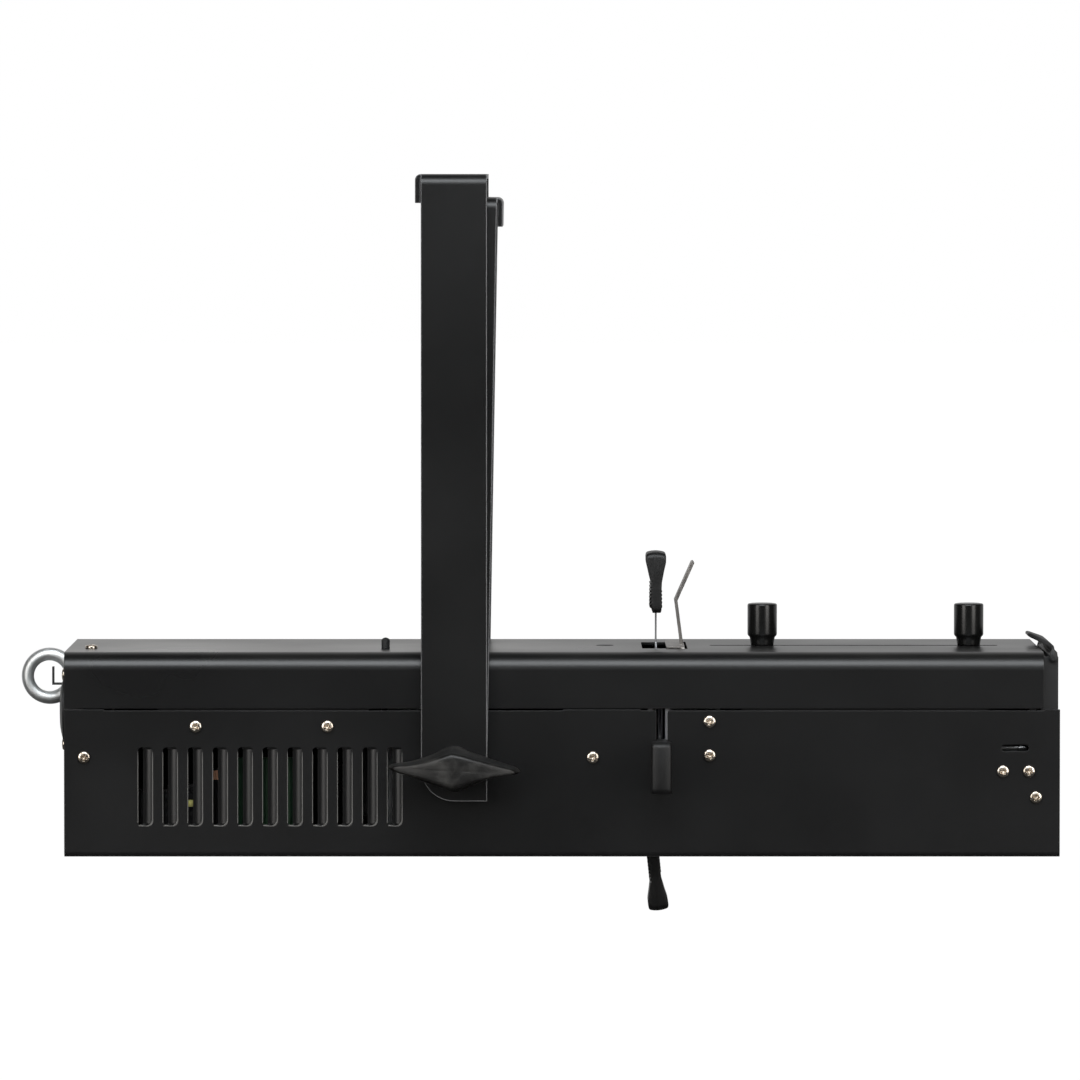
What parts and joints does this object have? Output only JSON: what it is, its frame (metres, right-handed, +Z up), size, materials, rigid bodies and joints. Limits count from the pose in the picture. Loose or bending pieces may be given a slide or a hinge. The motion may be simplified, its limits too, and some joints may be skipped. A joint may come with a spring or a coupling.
{
  "type": "gobo projector",
  "caption": "Long black sheet-steel profile spot with louvred sides, framing shutters, gobo slot, sliding lenses, colour frame holder and a double swing bracket.",
  "frame": {"origin": "middle of the clamp bolt hole in the outer bracket's crossbar, from which the projector hangs", "axes": "+Z up along the clamp hole, +X along the housing towards the light opening, the tilt pivots lie along Y"},
  "size_m": [0.5244, 0.2, 0.3741],
  "materials": {
    "housing_paint": "satin black powder coat",
    "bracket_paint": "satin black powder coat",
    "panel_paint": "matt black paint",
    "screw_steel": "bright plated steel",
    "zinc_steel": "zinc plated steel",
    "rod_steel": "ground steel",
    "blade_steel": "stainless sheet",
    "plate_steel": "galvanised sheet",
    "gobo_metal": "dark stainless sheet",
    "knob_gloss": "polished black plastic",
    "wing_plastic": "satin dark grey nylon",
    "grip_plastic": "matt black heatproof plastic",
    "socket_plastic": "matt black plastic",
    "display_glass": "smoked window",
    "button_rubber": "matt rubber",
    "board_green": "printed circuit board",
    "tape_yellow": "transformer tape",
    "sleeve_orange": "capacitor sleeve",
    "fan_plastic": "glass filled nylon",
    "aluminium": "bare extrusion",
    "phosphor": "lamp phosphor",
    "lens_cell": "black anodised",
    "lens_glass": "coated optical glass"
  },
  "bodies": {
    "outer_bracket": {"outer_bracket": "bracket_paint"},
    "inner_bracket": {"inner_bracket": "bracket_paint"},
    "housing": {"lower_shell": "housing_paint", "top_cover": "housing_paint", "rear_panel": "panel_paint", "front_plate": "panel_paint", "frame_holder": "housing_paint", "clip_rivets": "zinc_steel", "side_screws": "screw_steel", "panel_screws": "screw_steel", "eye_bolt": "zinc_steel", "eye_nut": "zinc_steel", "power_inlet": "socket_plastic", "control_sockets": "socket_plastic", "display_window": "display_glass", "hole_plug": "socket_plastic", "rubber_stop": "button_rubber", "pivot_studs": "zinc_steel", "pivot_bosses": "plate_steel", "pivot_washers": "socket_plastic", "driver_board": "board_green", "board_transformer": "tape_yellow", "board_capacitors": "sleeve_orange", "control_board": "board_green", "fan_frame": "fan_plastic", "heat_sink": "aluminium", "led_module": "phosphor", "reflector": "lens_cell", "condenser_lens": "lens_glass", "gate_rear": "plate_steel", "gate_front": "plate_steel", "gate_posts": "rod_steel", "gate_separators": "blade_steel", "guide_rods": "rod_steel"},
    "knob_near": {"knob_near": "wing_plastic"},
    "knob_far": {"knob_far": "wing_plastic"},
    "shutter_top": {"shutter_blade_top": "blade_steel", "shutter_grip_top": "grip_plastic"},
    "shutter_bottom": {"shutter_blade_bottom": "blade_steel", "shutter_grip_bottom": "grip_plastic"},
    "shutter_near": {"shutter_blade_near": "blade_steel", "shutter_grip_near": "grip_plastic"},
    "shutter_far": {"shutter_blade_far": "blade_steel", "shutter_grip_far": "grip_plastic"},
    "gobo": {"gobo_holder": "gobo_metal", "gobo_disc": "blade_steel"},
    "zoom_carriage": {"zoom_carriage": "lens_cell", "zoom_lens": "lens_glass", "zoom_post": "zinc_steel"},
    "focus_carriage": {"focus_carriage": "lens_cell", "focus_lens": "lens_glass", "focus_post": "zinc_steel"},
    "zoom_knob": {"zoom_knob": "knob_gloss"},
    "focus_knob": {"focus_knob": "knob_gloss"},
    "frame_clip": {"frame_clip": "housing_paint"},
    "fan_rotor": {"fan_rotor": "fan_plastic"},
    "menu_button_1": {"menu_button_1": "button_rubber"},
    "menu_button_2": {"menu_button_2": "button_rubber"},
    "menu_button_3": {"menu_button_3": "button_rubber"},
    "menu_button_4": {"menu_button_4": "button_rubber"}
  },
  "joints": [
    {"name": "housing_tilt", "type": "hinge", "parent": "outer_bracket", "child": "housing", "pos_m": [0, 0, -0.29575], "axis": [0, 1, 0], "range_deg": [-55, 200]},
    {"name": "inner_bracket_swing", "type": "hinge", "parent": "outer_bracket", "child": "inner_bracket", "pos_m": [0, 0, -0.29575], "axis": [0, 1, 0], "range_deg": [0, 60]},
    {"name": "knob_near_turn", "type": "hinge", "parent": "housing", "child": "knob_near", "pos_m": [0, 0, -0.29575], "axis": [0, 1, 0], "range_deg": [-180, 180]},
    {"name": "knob_far_turn", "type": "hinge", "parent": "housing", "child": "knob_far", "pos_m": [0, 0, -0.29575], "axis": [0, 1, 0], "range_deg": [-180, 180]},
    {"name": "shutter_top_slide", "type": "slide", "parent": "housing", "child": "shutter_top", "axis": [0, 0, 1], "range_m": [-0.016, 0.01]},
    {"name": "shutter_bottom_slide", "type": "slide", "parent": "housing", "child": "shutter_bottom", "axis": [0, 0, -1], "range_m": [0, 0.025]},
    {"name": "shutter_near_slide", "type": "slide", "parent": "housing", "child": "shutter_near", "axis": [0, -1, 0], "range_m": [0, 0.025]},
    {"name": "shutter_far_slide", "type": "slide", "parent": "housing", "child": "shutter_far", "axis": [0, 1, 0], "range_m": [0, 0.025]},
    {"name": "gobo_lift", "type": "slide", "parent": "housing", "child": "gobo", "axis": [0, 0, 1], "range_m": [0, 0.095]},
    {"name": "zoom_slide", "type": "slide", "parent": "housing", "child": "zoom_carriage", "axis": [1, 0, 0], "range_m": [-0.02, 0.038]},
    {"name": "focus_slide", "type": "slide", "parent": "housing", "child": "focus_carriage", "axis": [1, 0, 0], "range_m": [-0.04, 0.008]},
    {"name": "zoom_knob_turn", "type": "hinge", "parent": "zoom_carriage", "child": "zoom_knob", "pos_m": [0.156, 0, -0.23815], "axis": [0, 0, 1], "range_deg": [-180, 180]},
    {"name": "focus_knob_turn", "type": "hinge", "parent": "focus_carriage", "child": "focus_knob", "pos_m": [0.261, 0, -0.23815], "axis": [0, 0, 1], "range_deg": [-180, 180]},
    {"name": "frame_clip_swing", "type": "hinge", "parent": "housing", "child": "frame_clip", "pos_m": [0.301, 0, -0.24175], "axis": [0, 1, 0], "range_deg": [-24, 110]},
    {"name": "fan_spin", "type": "hinge", "parent": "housing", "child": "fan_rotor", "pos_m": [-0.044, 0, -0.29425], "axis": [1, 0, 0], "continuous": true},
    {"name": "menu_button_1_press", "type": "slide", "parent": "housing", "child": "menu_button_1", "axis": [1, 0, 0], "range_m": [0, 0.001], "stiffness_N_per_m": 400, "springref_m": -0.001},
    {"name": "menu_button_2_press", "type": "slide", "parent": "housing", "child": "menu_button_2", "axis": [1, 0, 0], "range_m": [0, 0.001], "stiffness_N_per_m": 400, "springref_m": -0.001},
    {"name": "menu_button_3_press", "type": "slide", "parent": "housing", "child": "menu_button_3", "axis": [1, 0, 0], "range_m": [0, 0.001], "stiffness_N_per_m": 400, "springref_m": -0.001},
    {"name": "menu_button_4_press", "type": "slide", "parent": "housing", "child": "menu_button_4", "axis": [1, 0, 0], "range_m": [0, 0.001], "stiffness_N_per_m": 400, "springref_m": -0.001}
  ]
}
